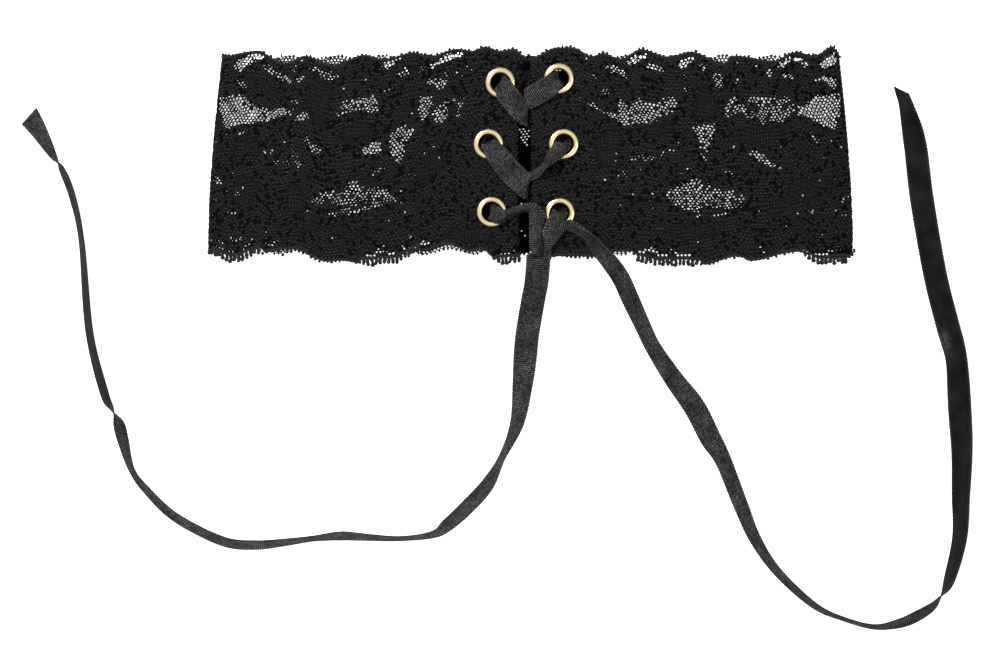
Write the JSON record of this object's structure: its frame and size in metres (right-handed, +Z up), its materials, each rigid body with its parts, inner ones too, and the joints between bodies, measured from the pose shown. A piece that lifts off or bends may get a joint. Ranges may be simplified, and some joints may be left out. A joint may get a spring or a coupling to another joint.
{
  "type": "lace choker",
  "caption": "Wide stretch-lace choker lying flat, its doubled front edges drawn together by a satin ribbon laced through brass eyelets, with two long free ends.",
  "frame": {"origin": "on the surface that the choker lies on, under the middle of the band and its lacing, without the two free ribbon ends", "axes": "+X runs along the flattened band to its right end, +Y runs up the band to its top scallops, +Z points up, out of its laced front"},
  "size_m": [0.2383, 0.1465, 0.0127],
  "materials": {
    "lace": "black raschel stretch lace, matt",
    "brass": "polished pale brass",
    "satin": "black double-face satin ribbon"
  },
  "bodies": {
    "root": {"lace_band": "lace", "eyelet_top_left": "brass", "eyelet_top_right": "brass", "eyelet_middle_left": "brass", "eyelet_middle_right": "brass", "eyelet_bottom_left": "brass", "eyelet_bottom_right": "brass", "ribbon_lacing": "satin", "ribbon_tail_left": "satin", "ribbon_tail_right": "satin"}
  },
  "joints": []
}
